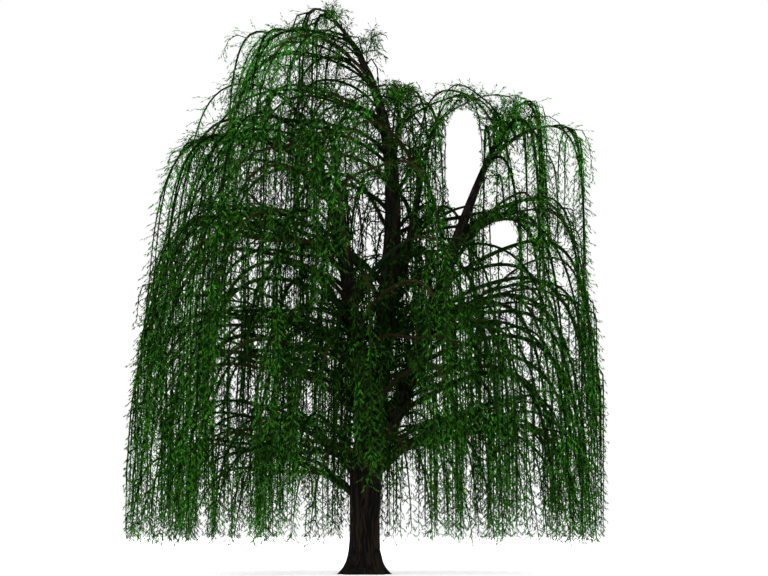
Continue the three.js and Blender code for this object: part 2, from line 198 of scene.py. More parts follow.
def bark_finish(name, dark, middle, light, stretch, bump):
    """Bark: dark in its furrows, browner on its ridges, in streaks along the limb."""
    finish = bpy.data.materials.new(name)
    finish.use_nodes = True
    nodes = finish.node_tree.nodes
    shader = nodes["Principled BSDF"]
    place = Wire(nodes.new("ShaderNodeTexCoord").outputs["Object"])
    relief = place.node("ShaderNodeAttribute", {"attribute_name": "relief"}, {}, "Fac")
    along = place.node("ShaderNodeVectorMath", {"operation": "MULTIPLY"}, {0: place, 1: stretch})
    streaks = place.node("ShaderNodeTexNoise", {}, {"Vector": along, **BARK_STREAKS})
    grain = place.node("ShaderNodeTexNoise", {}, {"Vector": place, **BARK_GRAIN})
    patches = place.node("ShaderNodeTexNoise", {}, {"Vector": place, **BARK_PATCHES})
    height = 0.6 * relief + 0.7 * streaks + 0.25 * grain + 0.35 * patches - 0.6
    stops = list(zip(BARK_STOPS, (opaque(dark), opaque(middle), opaque(light))))
    colour = place.node("ShaderNodeValToRGB", {"stops": stops}, {"Fac": height})
    colour.to(shader.inputs["Base Color"])
    rough = 0.95 - 0.15 * streaks
    rough.to(shader.inputs["Roughness"])
    normal = place.node("ShaderNodeBump", {}, {
        "Strength": BARK_BUMP_STRENGTH, "Distance": bump,
        "Height": 0.5 * relief + 0.6 * streaks + 0.4 * grain,
    })
    normal.to(shader.inputs["Normal"])
    shader.inputs["Specular IOR Level"].default_value = BARK_SHINE
    return finish


def smooth_field(around, up, cells, seed):
    """Smooth random numbers from 0 to 1, closed round the limb, one for each unit up."""
    table = np.random.default_rng(seed).random((int(up.max()) + 3, cells))
    across = around * cells
    column, row = np.floor(across).astype(int), np.floor(up).astype(int)
    s, t = across - column, up - row
    s, t = s * s * (3 - 2 * s), t * t * (3 - 2 * t)
    left, right = column % cells, (column + 1) % cells
    low = table[row, left] * (1 - s) + table[row, right] * s
    high = table[row + 1, left] * (1 - s) + table[row + 1, right] * s
    return low * (1 - t) + high * t


def bark_relief(around, up, ridges, ridge_length, seed):
    """Height of the bark from 0, in a furrow, to 1, on a ridge. Ridges sway and have plates."""
    sway = smooth_field(around, up / ridge_length * 0.8, max(ridges // 5, 3), seed)
    ridge = smooth_field((around + 0.09 * sway) % 1, up / ridge_length, ridges, seed + 1)
    plates = smooth_field(around, up / ridge_length * 3, ridges * 2, seed + 2)
    furrow = 1 - np.abs(2 * ridge - 1)
    return np.clip(0.15 + 1.15 * (1 - furrow**2) * (0.55 + 0.45 * plates), 0, 1)


def framed(points):
    """Directions along a line of points, and two across it that don't twist."""
    along = np.gradient(points, axis=0)
    along /= np.linalg.norm(along, axis=1, keepdims=True)
    if abs(along[0, 2]) > 0.999:
        along[0] = (0, 0, 1)
    side = np.empty_like(along)
    last = np.array([0.0, 1.0, 0.0])
    for i, way in enumerate(along):
        last = last - way * last.dot(way)
        last /= math.sqrt(last.dot(last))
        side[i] = last
    return along, side, np.cross(side, along)


def rings_round(line, side, across, radius, turn):
    """Corners of a tube, ring by ring."""
    return (
        line[:, None, :]
        + side[:, None, :] * (radius * np.cos(turn))[..., None]
        + across[:, None, :] * (radius * np.sin(turn))[..., None]
    ).reshape(-1, 3)


def ring_faces(rings, sides, first=0):
    """Faces between the rings of a tube whose first corner has this number."""
    ring, spoke = np.meshgrid(np.arange(rings - 1), np.arange(sides), indexing="ij")
    a = (first + ring * sides + spoke).ravel()
    b = (first + ring * sides + (spoke + 1) % sides).ravel()
    return np.stack([b, a, a + sides, b + sides], axis=1).tolist()


def limb_piece(name, points, radius_at, sides, furrow, ridges, ridge_length, seed):
    """A limb swept along a line of points, with the relief of its bark, closed at both ends."""
    rings = len(points)
    steps = np.linalg.norm(np.diff(points, axis=0), axis=1)
    up = np.concatenate([[0], np.cumsum(steps)])
    grid_up, grid_around = np.meshgrid(up, np.arange(sides) / sides, indexing="ij")
    relief = bark_relief(grid_around, grid_up, ridges, ridge_length, seed)
    turn = grid_around * 2 * math.pi
    plain = radius_at(up[:, None] / up[-1], turn)
    radius = plain + furrow * (relief - BARK_LEVEL) * np.minimum(1, plain / plain.mean())
    _, side, across = framed(points)
    corners = rings_round(points, side, across, radius, turn)
    faces = ring_faces(rings, sides)
    faces.append(list(range(sides)))
    faces.append(list(range(rings * sides - 1, (rings - 1) * sides - 1, -1)))
    data = bpy.data.meshes.new(name)
    data.from_pydata(corners.tolist(), [], faces)
    data.attributes.new("relief", "FLOAT", "POINT").data.foreach_set("value", relief.ravel())
    data.shade_smooth()
    piece = bpy.data.objects.new(name, data)
    scene.collection.objects.link(piece)
    return piece


def on_tree(piece, slot, *nodes):
    """Every piece of the tree stands with the one rooted body."""
    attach(piece, "root")
    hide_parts(*nodes)


def trunk_line(heights):
    share = heights / TRUNK_HEIGHT
    return np.stack([TRUNK_LEAN * share**2, 0 * share, heights], axis=1)


def trunk_radius(along, turn):
    flare = np.exp(-along * TRUNK_HEIGHT / ROOT_FLARE_HEIGHT)
    lobe = 1 + ROOT_LOBE_DEPTH * flare * np.cos(ROOT_LOBES * turn)
    crowned = np.maximum(0, along - (1 - TRUNK_CROWNED_SHARE)) / TRUNK_CROWNED_SHARE
    radius = WAIST_RADIUS + ROOT_FLARE * flare + FORK_SWELL * along**2
    return radius * lobe * (1 - TRUNK_CROWNING * crowned)


trunk = limb_piece(
    "bark_trunk",
    trunk_line(TRUNK_HEIGHT * np.linspace(0, 1, TRUNK_RINGS) ** TRUNK_RING_CROWDING),
    trunk_radius, TRUNK_SIDES, TRUNK_FURROW, TRUNK_RIDGES, TRUNK_RIDGE_LENGTH, TRUNK_BARK_SEED,
)
bark = bark_finish("bark", BARK_DARK, BARK_MIDDLE, BARK_LIGHT, TRUNK_BARK_STRETCH, TRUNK_BARK_BUMP)
trunk.data.materials.append(bark)
on_tree(trunk, "bark", "trunk")


# Leaders: the upright stems that the trunk forks into, with the same bark but finer
# ridges. Each grows out of what carries it in a collar and thins to a whip at its tip.
LEADERS = [
    # name, carried by, foot height, azimuth, reach, tip height, leaving, arriving, swing
    ("leader_center", "trunk", 2.2, 180, 0.7, 11.75, 84, 48, 180),
    ("leader_right", "trunk", 2.15, 0, 3.15, 9.8, 60, 60, 0),
    ("leader_left", "trunk", 2.25, 172, 1.59, 10.0, 84, 60, 8),
    ("leader_front", "trunk", 2.2, 252, 2.3, 9.15, 62, 60, 12),
    ("leader_back", "trunk", 2.3, 70, 2.3, 10.05, 64, 62, -10),
    ("leader_mid_right", "leader_center", 5.5, 352, 1.7, 9.9, 60, 62, -10),
]
LEADER_GROWTH = {
    # Radius at the foot and at the tip, how far its stem is thrown out and how far it hangs,
    # spread of its finer boughs, shoots in its tuft, and close strands along a metre
    "leader_center": (0.25, 0.024, 0.62, 4.0, 105, 34, 8),
    "leader_right": (0.195, 0.022, 0.62, 4.0, 60, 44, 0),
    "leader_left": (0.175, 0.022, 0.62, 4.0, 100, 10, 6),
    "leader_front": (0.15, 0.02, 0.9, 4.0, 100, 14, 4),
    "leader_back": (0.16, 0.02, 0.8, 4.0, 100, 16, 3),
    "leader_mid_right": (0.095, 0.016, 0.85, 2.6, 120, 0, 11),
}
LEADER_TAPER = 1.7
LEADER_SIDES = 30
LEADER_RING_STEP = 0.08
LEADER_FURROW = 0.012
LEADER_FURROW_RADIUS = 0.2
LEADER_RIDGES = 14
LEADER_RIDGE_LENGTH = 0.35
LEADER_BARK_SEED = 101
COLLAR_SWELL = 0.35
COLLAR_LENGTH = 0.26
COLLAR_RADIUS = 0.1
CURVE_POINTS = 400


def heading(azimuth, elevation):
    a, e = math.radians(azimuth), math.radians(elevation)
    return np.array([math.cos(e) * math.cos(a), math.cos(e) * math.sin(a), math.sin(e)])


def at_height(line, height):
    return np.array([np.interp(height, line[:, 2], line[:, axis]) for axis in range(3)])


def arched(start, end, leaving, arriving, swing, step):
    """Curved line from where a limb leaves what carries it to its tip, at even steps."""
    level = end - start
    azimuth = math.degrees(math.atan2(level[1], level[0]))
    handle = np.linalg.norm(level) / 3
    first = start + heading(azimuth + swing, leaving) * handle
    second = end - heading(azimuth, arriving) * handle
    t = np.linspace(0, 1, CURVE_POINTS)[:, None]
    curve = (
        (1 - t) ** 3 * start + 3 * (1 - t) ** 2 * t * first
        + 3 * (1 - t) * t**2 * second + t**3 * end
    )
    walked = np.concatenate([[0], np.cumsum(np.linalg.norm(np.diff(curve, axis=0), axis=1))])
    evenly = np.linspace(0, walked[-1], max(int(walked[-1] / step), 4))
    return np.stack([np.interp(evenly, walked, curve[:, axis]) for axis in range(3)], axis=1)


def limb_line(parent_line, foot, azimuth, reach, tip, leaving, arriving, swing, step):
    """Middle line of a limb, from the middle of what carries it to its tip."""
    end = np.array([*(heading(azimuth, 0)[:2] * reach), tip])
    return arched(at_height(parent_line, foot), end, leaving, arriving, swing, step)


def limb_radius(thick, thin, taper, length):
    """How thick a limb is: a collar at its foot, and a taper from thick to thin."""
    def radius_at(along, turn):
        from_foot = along * length / COLLAR_LENGTH / (thick / COLLAR_RADIUS)
        collar = 1 + COLLAR_SWELL * np.exp(-from_foot)
        return (thick + (thin - thick) * along**taper) * collar + 0 * turn
    return radius_at


limb_lines = {"trunk": trunk_line(np.linspace(0, TRUNK_HEIGHT, 100))}
limbs = []
for order, (name, parent, *shape) in enumerate(LEADERS):
    thick, thin, out, hang, spread, tuft_shoots, fringe = LEADER_GROWTH[name]
    line = limb_line(limb_lines[parent], *shape, LEADER_RING_STEP)
    limb_lines[name] = line
    length = LEADER_RING_STEP * len(line)
    leader = limb_piece(
        f"bark_{name}", line, limb_radius(thick, thin, LEADER_TAPER, length),
        LEADER_SIDES, LEADER_FURROW * thick / LEADER_FURROW_RADIUS,
        LEADER_RIDGES, LEADER_RIDGE_LENGTH, LEADER_BARK_SEED + order,
    )
    leader.data.materials.append(bark)
    on_tree(leader, "bark", name)
    limbs.append(dict(
        name=name, tip=line[-1][2], leader=True, thick=thick, thin=thin, out=out, hang=hang,
        spread=spread, tuft=tuft_shoots, fringe=fringe,
    ))


# Boughs: they arch out from the trunk and the leaders, tier over tier, and end at their
# crest. Their bark is younger: nearly smooth, dark olive on some and brown on others.
TIERS = {
    "low": dict(reach=2.6, leave=56, arrive=10, thick=0.072, thin=0.026, out=2.15, hang=4.0),
    "mid": dict(reach=2.75, leave=56, arrive=12, thick=0.066, thin=0.026, out=2.05, hang=4.8),
    "high": dict(reach=2.7, leave=52, arrive=12, thick=0.058, thin=0.024, out=1.85, hang=4.8),
    "top": dict(reach=1.45, leave=50, arrive=8, thick=0.04, thin=0.02, out=1.45, hang=4.2),
}
UPPER_LEFT_ARCHES = [
    # share of the bough, azimuth, rise and fullness of finer boughs that close its outline
    (0.7, 178, 0.15, 0.99), (0.85, 190, 0.05, 1.0), (0.8, 162, 0.1, 1.0),
]
BOUGHS = [
    # name, tier, carried by, foot height, azimuth, tip height, and what differs from its tier
    ("low_left", "low", "trunk", 1.38, 184, 2.72, dict(reach=2.95)),
    ("low_front_left", "low", "trunk", 1.95, 232, 3.15, {}),
    ("low_front", "low", "trunk", 1.65, 283, 2.9, dict(plume=9)),
    ("low_right", "low", "trunk", 2.0, 346, 3.12, dict(reach=2.85, brown=True)),
    ("low_back_right", "low", "trunk", 1.7, 35, 3.2, {}),
    ("low_back", "low", "trunk", 1.9, 86, 2.85, {}),
    ("low_back_left", "low", "trunk", 1.7, 136, 3.25, {}),
    ("mid_left", "mid", "leader_left", 3.5, 163, 4.56, dict(reach=2.95, brown=True)),
    ("mid_front_left", "mid", "leader_left", 4.5, 208, 5.52, {}),
    ("mid_front", "mid", "leader_front", 3.7, 258, 4.8, {}),
    ("mid_front_right", "mid", "leader_front", 4.4, 312, 5.35, {}),
    ("mid_right", "mid", "leader_right", 4.8, 5, 5.98, dict(reach=3.2, brown=True)),
    ("mid_back_right", "mid", "leader_back", 3.9, 60, 4.9, {}),
    ("mid_back_left", "mid", "leader_back", 4.5, 112, 5.6, dict(brown=True)),
    ("high_left", "high", "leader_left", 6.3, 188, 7.48, dict(reach=2.85, brown=True)),
    ("upper_left", "high", "leader_left", 8.3, 172, 9.2,
     dict(reach=2.5, brown=True, arches=UPPER_LEFT_ARCHES)),
    ("high_right", "high", "leader_right", 6.8, 350, 7.65, dict(reach=3.4, out=1.55, brown=True)),
    ("upper_right", "high", "leader_right", 8.6, 6, 9.42, dict(reach=3.75, out=1.0, brown=True)),
    ("high_front_left", "high", "leader_front", 6.4, 232, 7.6, {}),
    ("high_front_right", "high", "leader_front", 5.7, 292, 7.05, {}),
    ("high_back_right", "high", "leader_back", 6.5, 38, 7.75, {}),
    ("high_back_left", "high", "leader_back", 6.0, 132, 7.35, dict(brown=True)),
    ("top_left", "top", "leader_center", 10.45, 182, 11.45, dict(brown=True)),
]
BOUGH_TAPER = 1.2
BOUGH_SIDES = 12
BOUGH_RING_STEP = 0.08
BOUGH_FURROW = 0.004
BOUGH_RIDGES = 7
BOUGH_RIDGE_LENGTH = 0.25
BOUGH_BARK_SEED = 201
BOUGH_BARK_STRETCH = (9, 9, 9)
BOUGH_BARK_BUMP = 0.004
OLIVE_DARK = (0.0015, 0.004, 0.001)
OLIVE_MIDDLE = (0.0025, 0.0078, 0.0016)
OLIVE_LIGHT = (0.005, 0.015, 0.003)
BROWN_DARK = (0.004, 0.0025, 0.0015)
BROWN_MIDDLE = (0.010, 0.0062, 0.0035)
BROWN_LIGHT = (0.024, 0.014, 0.0075)

olive_bark = bark_finish(
    "olive_bark", OLIVE_DARK, OLIVE_MIDDLE, OLIVE_LIGHT, BOUGH_BARK_STRETCH, BOUGH_BARK_BUMP,
)
brown_bark = bark_finish(
    "brown_bark", BROWN_DARK, BROWN_MIDDLE, BROWN_LIGHT, BOUGH_BARK_STRETCH, BOUGH_BARK_BUMP,
)

for order, (name, tier, parent, foot, azimuth, tip, other) in enumerate(BOUGHS):
    bough = {**TIERS[tier], **other}
    line = limb_line(
        limb_lines[parent], foot, azimuth, bough["reach"], tip, bough["leave"], bough["arrive"], 0,
        BOUGH_RING_STEP,
    )
    limb_lines[name] = line
    length = BOUGH_RING_STEP * len(line)
    piece = limb_piece(
        f"bark_{name}", line, limb_radius(bough["thick"], bough["thin"], BOUGH_TAPER, length),
        BOUGH_SIDES, BOUGH_FURROW, BOUGH_RIDGES, BOUGH_RIDGE_LENGTH, BOUGH_BARK_SEED + order,
    )
    piece.data.materials.append(brown_bark if other.get("brown") else olive_bark)
    on_tree(piece, "bough_bark", f"bough_{name}")
    limbs.append(dict(bough, name=name, tip=tip, leader=False))


# Stems and branches: young willow wood. From each limb's tip a stem goes on, is thrown out
# and then hangs by its own weight, nearly to the ground, and throws branches and strands.
SHOOT_SEED = 104729
SHOOT_STEP = 0.12
BRANCH_RADIUS = 0.026
STRAND_RADIUS = 0.02
STEM_LIFT = 0.9
STEM_BRANCHES = 2
STEM_STRANDS = 2
STEM_BRANCH = dict(at=(0.1, 0.6), aside=(25, 60), out=(0.55, 0.9))
STEM_STRAND = dict(at=(0.2, 1.5), aside=(30, 110), out=(0.18, 0.48))
STEM_BEARS_TO = 0.8
BRANCH_LIFT = (0.1, 0.4)
SHORTEST_THROW = 0.05
HANG_SHARE = (0.8, 1)
SKIRT_HEIGHT = 0.67
SKIRT_STAGGER = 0.38
STEM_PARTING = (1.7, 1.5)  # half width and height of the parting in the curtain
FINER_PARTING = (1.7, 1.6)
PARTED_SHARE = 0.4
PARTED_WITHIN = 0.5
FINER_RAGGEDNESS = 0.7
BARE_TRUNK_HEIGHT = 1.8
BARE_TRUNK_HALF_WIDTH = 0.42
BARE_TRUNK_BACK = 1.1
CROWN_EDGE = 5.03
CROWN_MIDDLE = -0.07
DOME_DEPTH = 0.965
LOW_TOP = (0.52, 10.42)  # to the right of the first, the crown ends at the second
LEADER_WINDOW = (-0.3, 0.95, 6.6, 8.05)
LEADER_WINDOW_BACK = -0.3
WINDOW_ROUNDNESS = 2.4
OPEN_SKY = [
    # Open in the front view: across from and to, height from and to
    (1.72, 2.42, 7.7, 9.8),
    (2.65, 3.2, 6.88, 7.42),
]
SMALL_GAPS = [
    # Gaps which finer boughs may cross and strands may not
    (2.8, 3.45, 8.3, 8.9),
    (2.5, 3.1, 7.6, 8.2),
    (3.55, 4.15, 5.9, 6.75),
    (4.1, 4.5, 5.9, 7.1),
    (-4.35, -3.72, 7.15, 8.5),
    (3.44, 3.74, 0.2, 1.9),
    (0.78, 1.12, 0.2, 2.2),
    (-1.6, -1.24, 0.2, 2.0),
]


def dice(seed):
    """Throws between two numbers, the same for the same seed. The solids use the same dice."""
    state = seed

    def throw(low, high):
        nonlocal state
        state = state * 48271 % 2147483647
        return low + (high - low) * state / 2147483647
    return throw


def side_of(order):
    return 1 if order % 2 else -1


def turned(way, degrees):
    a = math.radians(degrees)
    return np.array([
        way[0] * math.cos(a) - way[1] * math.sin(a), way[0] * math.sin(a) + way[1] * math.cos(a), 0,
    ])


def in_window(points, left, right, low, high):
    across = (2 * points[:, 0] - left - right) / (right - left)
    up = (2 * points[:, 2] - low - high) / (high - low)
    return np.abs(across) ** WINDOW_ROUNDNESS + np.abs(up) ** WINDOW_ROUNDNESS < 1


def in_sky(points, small_too=False):
    """Nothing grows over the low right top, before the leaders, or in the open sky."""
    inside = (points[:, 0] > LOW_TOP[0]) & (points[:, 2] > LOW_TOP[1])
    inside |= in_window(points, *LEADER_WINDOW) & (points[:, 1] < LEADER_WINDOW_BACK)
    for window in OPEN_SKY + SMALL_GAPS * small_too:
        inside |= in_window(points, *window)
    return inside


def within_crown(start, way, out):
    """A throw is cut short where it would hang outside the crown."""
    end = start + way * out
    over = math.hypot(end[0] - CROWN_MIDDLE, end[1] / DOME_DEPTH) - CROWN_EDGE
    return max(out - max(over, 0), SHORTEST_THROW)


def thrown(start, way, out, lift, hang, throw, finer=False):
    """Line of a shoot: thrown out level, lifted at first, then hanging down to the skirt.

    The skirt is higher near the middle, where the curtain parts before and behind the
    trunk. Some finer shoots hang lower there all the same.
    """
    out = within_crown(start, way, out)
    end = start + way * out
    half_width, raised = FINER_PARTING if finer else STEM_PARTING
    parted = max(0, 1 - abs(end[0]) / half_width)
    skirt = SKIRT_HEIGHT + raised * parted
    if abs(end[0]) < BARE_TRUNK_HALF_WIDTH and end[1] < BARE_TRUNK_BACK:
        skirt = max(skirt, BARE_TRUNK_HEIGHT)
        raised = 0
    floor = max(start[2] - hang * throw(*HANG_SHARE), skirt) + throw(0, SKIRT_STAGGER)
    if finer:
        floor += FINER_RAGGEDNESS * throw(0, 1) ** 3
        lowered = (throw(0, 1) > PARTED_SHARE) * (floor < skirt + PARTED_WITHIN)
        floor -= lowered * raised * parted
    length = max(start[2] - floor + (1 + lift) * out, 0.5 * out)
    travelled = np.linspace(0, length, max(int(length / SHOOT_STEP), 5))
    gone = out * (1 - np.exp(-travelled / out))
    line = start + gone[:, None] * way
    line[:, 2] -= travelled - (1 + lift) * gone
    return line


def shoot(line, thick, kind="strand", small_gaps=True):
    """A shoot ends where it would hang across open sky."""
    crossing = np.flatnonzero(in_sky(line, small_gaps))
    if len(crossing):
        line = line[:max(crossing[0], 2)]
    steps = np.linalg.norm(np.diff(line, axis=0), axis=1)
    walked = np.concatenate([[0], np.cumsum(steps)])
    return dict(line=line, walked=walked, thick=thick, kind=kind)


def along(shoot, distance):
    """Places at distances along a shoot."""
    walked, line = shoot["walked"], shoot["line"]
    return np.stack([np.interp(distance, walked, line[:, axis]) for axis in range(3)], axis=-1)


def level_of(way):
    """The level part of a way, and how steeply the way climbs."""
    across = math.hypot(way[0], way[1])
    return np.array([way[0] / across, way[1] / across, 0]), way[2] / across


def stem_shoots(limb, line, throw):
    """Stem, branches and strands from the limb's tip, by the rule of the solids."""
    level, climb = level_of(line[-1] - line[-2])
    out = limb["out"]
    stem = thrown(line[-1], level, out, min(climb, STEM_LIFT), limb["hang"], throw)
    shoots = [(shoot(stem, limb["thin"], "plume", False), level, out)]
    for order in range(STEM_BRANCHES + STEM_STRANDS):
        branch = order < STEM_BRANCHES
        rule = STEM_BRANCH if branch else STEM_STRAND
        parent, way, parent_out = shoots[0] if branch else shoots[int(throw(0, len(shoots)))]
        at = parent_out * throw(*rule["at"])
        new_way = turned(way, side_of(order) * throw(*rule["aside"]))
        new_out = throw(*rule["out"]) * (limb["out"] if branch else 1)
        start = along(parent, min(at, STEM_BEARS_TO * parent["walked"][-1]))
        new = thrown(start, new_way, new_out, throw(*BRANCH_LIFT), limb["hang"], throw)
        kind, thick = ("plume", BRANCH_RADIUS) if branch else ("strand", STRAND_RADIUS)
        shoots.append((shoot(new, thick, kind), new_way, new_out))
    return [made for made, _, _ in shoots]


# Finer boughs: green wood of a few years. They leave the leaders and the boughs to all
# sides, arch to a crest and hang like the stems, and their crests make the crown's dome.
FINER_SEED = 4 * 7919
DOME_REACH = 5.1
DOME_HEIGHT = 9.05
DOME_POWER = 2.83
SHOULDER_HEIGHT = 4
TOP_HEIGHT = 8.3
TOP_CREST = 11.4
TOP_FADE = 3
TOP_SPACING = 0.2
FINER_SPACING = 0.39
FINER_SPACING_SPREAD = (0.6, 1.4)
FINER_LOWEST = 3.0
FINER_ABOVE_FOOT = 1.0
FINER_BELOW_TIP = 0.35
FINER_SHORTEST = 0.7
FINER_CREST_SHARE = (0.4, 0.55)
FINER_LEAVING = (44, 66)
FINER_ARRIVING = (8, 20)
FINER_SWING = (-12, 12)
FINER_OVERHANG = 1.14
FINER_OVERHANG_LOST = 0.14
FINER_OVERHANG_LOST_FROM = 7
FINER_WIDEST_BELOW = 0.75
FINER_ROUNDS = 4
FINER_THICK = 0.066
FINER_THINNING = 0.034
FINER_TOP_THINNING = 0.3
FINER_TOP_THINNING_FROM = 7.5
FINER_OF_CARRIER = 0.75
GOLDEN_SHARE = 0.618
GOLDEN_JITTER = (-0.08, 0.08)
LEADER_FINER_HANGS_ON = 1
LEADER_RISE = (0.8, 1.7)
LEADER_RISE_LOST = 0.45
LEADER_FULLNESS = (0.82, 1.04)
LEADER_TOP_FULLNESS = (0.78, 0.98)
LEADER_TOP_FROM = 8.5
LEADER_SHORT_ARCH = (0.35, 0.65)
CENTER_SPREAD = 180
CENTER_TOP_AZIMUTH = 180
CENTER_TOP_SPREAD = 60
BOUGH_FINER = 5
BOUGH_FINER_FROM = 0.12
BOUGH_FINER_OVER = 0.75
BOUGH_FINER_HANGS_ON = 0.8
BOUGH_RISE = (0.2, 0.8)
BOUGH_ASIDE = (8, 42)
BOUGH_FULLNESS = (0.86, 1.04)


def crown_reach(height):
    """How far out the crown reaches at a height: a dome over upright sides."""
    return DOME_REACH * (1 - np.clip((height - SHOULDER_HEIGHT) / DOME_HEIGHT, 0, 1) ** DOME_POWER)


def topmost(height, start):
    """0 up to the start height, rising to 1 at 3 m above it."""
    return np.clip((height - start) / TOP_FADE, 0, 1)


def finer_bough(start, azimuth, rise, fullness, thick, hang, throw):
    """An arch of its own: up and out to a crest, then thrown out and hanging like a stem."""
    crest = min(start[2] + rise, TOP_CREST)
    edge = heading(azimuth, 0) * crown_reach(crest) * fullness * (1, DOME_DEPTH, 0)
    level = edge - start * (1, 1, 0)
    distance = np.linalg.norm(level)
    if distance < FINER_SHORTEST:
        return None
    reach = distance * throw(*FINER_CREST_SHARE)
    end = start + level / distance * reach
    end[2] = crest
    rising = arched(
        start, end, throw(*FINER_LEAVING), throw(*FINER_ARRIVING), throw(*FINER_SWING), SHOOT_STEP,
    )
    if in_sky(rising).any():
        return None
    level, climb = level_of(rising[-1] - rising[-2])
    out = distance - reach
    lost = FINER_OVERHANG_LOST * topmost(crest, FINER_OVERHANG_LOST_FROM)
    base = (FINER_OVERHANG - lost) * out
    for _ in range(FINER_ROUNDS):
        lower = crown_reach(crest - FINER_WIDEST_BELOW * out) * fullness
        out = base + lower - crown_reach(crest) * fullness
    falling = thrown(end, level, out, min(climb, STEM_LIFT), hang, throw, True)
    return shoot(np.concatenate([rising[:-1], falling]), thick, "plume", False)


def finer_on_leader(limb, line, throw):
    """Finer boughs up a leader, closer together near the top of the tree."""
    foot_height, tip_height = line[0][2], line[-1][2]
    feet = [max(foot_height + FINER_ABOVE_FOOT, FINER_LOWEST)]
    while feet[-1] < tip_height - FINER_BELOW_TIP:
        spacing = FINER_SPACING if feet[-1] < TOP_HEIGHT else TOP_SPACING
        feet.append(feet[-1] + spacing * throw(*FINER_SPACING_SPREAD))
    made = []
    for order, foot in enumerate(feet):
        start = at_height(line, foot)
        outward = math.degrees(math.atan2(start[1], start[0]))
        spread = limb["spread"]
        if limb["name"] == "leader_center":
            if foot > TOP_HEIGHT:
                outward = CENTER_TOP_AZIMUTH
                spread = CENTER_TOP_SPREAD if order % 3 else spread
            else:
                spread = CENTER_SPREAD
        part = ((order + 1) * GOLDEN_SHARE + throw(*GOLDEN_JITTER)) % 1
        azimuth = outward + spread * (part * 2 - 1)
        share = (foot - foot_height) / (tip_height - foot_height)
        carrier = limb["thick"] + (limb["thin"] - limb["thick"]) * share**LEADER_TAPER
        thick = min(FINER_THICK - FINER_THINNING * share, FINER_OF_CARRIER * carrier)
        thick *= 1 - FINER_TOP_THINNING * topmost(foot, FINER_TOP_THINNING_FROM)
        rise = throw(*LEADER_RISE) * (1 - LEADER_RISE_LOST * share)
        full = throw(*(LEADER_TOP_FULLNESS if foot > LEADER_TOP_FROM else LEADER_FULLNESS))
        full *= throw(*LEADER_SHORT_ARCH) if order % 4 == 3 else 1
        hang = limb["hang"] + LEADER_FINER_HANGS_ON
        made.append(finer_bough(start, azimuth, rise, full, thick, hang, throw))
    return made


def along_line(line, share):
    return line[round(share * (len(line) - 1))]


def finer_on_bough(limb, line, throw):
    """Finer boughs to both sides of a bough, and arches that close the tree's outline."""
    made = []
    for order in range(BOUGH_FINER):
        share = BOUGH_FINER_FROM + BOUGH_FINER_OVER * (order + throw(0, 1)) / BOUGH_FINER
        i = int(share * (len(line) - 1))
        way = line[i + 1] - line[i]
        azimuth = math.degrees(math.atan2(way[1], way[0])) + side_of(order) * throw(*BOUGH_ASIDE)
        carrier = limb["thick"] + (limb["thin"] - limb["thick"]) * share**BOUGH_TAPER
        made.append(finer_bough(
            line[i], azimuth, throw(*BOUGH_RISE), throw(*BOUGH_FULLNESS),
            FINER_OF_CARRIER * carrier, limb["hang"] + BOUGH_FINER_HANGS_ON, throw,
        ))
    for share, azimuth, rise, full in limb.get("arches", ()):
        start = along_line(line, share)
        made.append(finer_bough(start, azimuth, rise, full, BRANCH_RADIUS, limb["hang"], throw))
    return made


def finer_boughs(limb, line, throw):
    on_limb = finer_on_leader if limb["leader"] else finer_on_bough
    return [made for made in on_limb(limb, line, throw) if made]


# Strands: the long hanging whips of young green wood, which thin to their tips. They grow from
# the stems and the finer boughs, alone or close together, and end in a ragged skirt.
HANGING_ON_STEM = 7
HANGING_ON_FINER = 4
STRAND_FROM = 0.2
STRAND_PAST_CREST = 0.3
STRAND_ASIDE = (15, 100)
STRAND_OUT = (0.12, 0.42)
STRAND_LIFT = (0.1, 0.6)
STRAND_DROP = (0.35, 1)
STRAND_HIGH_FROM = 6.5
STRAND_HIGH_SHORTENED = 0.55
STRAND_HIGH_THINNED = 0.4
STEEP = 0.93
PLUME_OUT = (0.06, 0.24)
PLUME_FROM = (0.88, 1)
PLUME_HANG = 4
GOLDEN_ANGLE = 137.5


def level_way(shoot, distance):
    ahead = along(shoot, distance + 0.05) - along(shoot, distance - 0.05)
    ahead[2] = 0
    return ahead / max(np.linalg.norm(ahead), 1e-6)


def strands(parents, count, hang, throw):
    """Strands that hang from other shoots: they leave before the shoot itself hangs down."""
    made = []
    for order in range(count):
        parent = parents[order % len(parents)]
        line = parent["line"]
        top = parent["walked"][int(np.argmax(line[:, 2]))]
        steep = np.flatnonzero(np.diff(line[:, 2]) < -STEEP * SHOOT_STEP)
        end = parent["walked"][steep[0]] if len(steep) else parent["walked"][-1]
        at = throw(min(STRAND_FROM, end / 3), max(end, top + STRAND_PAST_CREST))
        way = turned(level_way(parent, at), side_of(order) * throw(*STRAND_ASIDE))
        high = topmost(line[0, 2], STRAND_HIGH_FROM)
        out, lift = throw(*STRAND_OUT) * (1 + high), throw(*STRAND_LIFT)
        drop = hang * throw(*STRAND_DROP) * (1 - STRAND_HIGH_SHORTENED * high)
        falling = thrown(along(parent, at), way, out, lift, drop, throw, True)
        made.append(shoot(falling, STRAND_RADIUS * (1 - STRAND_HIGH_THINNED * high)))
    return made


def plume(line, count, throw):
    """Strands close together that hang from a bough's tip to the skirt."""
    made = []
    for order in range(count):
        way = heading(GOLDEN_ANGLE * order, 0)
        out, lift = throw(*PLUME_OUT), throw(*STRAND_LIFT)
        start = along_line(line, throw(*PLUME_FROM))
        falling = thrown(start, way, out, lift, PLUME_HANG, throw, True)
        made.append(shoot(falling, STRAND_RADIUS, small_gaps=False))
    return made


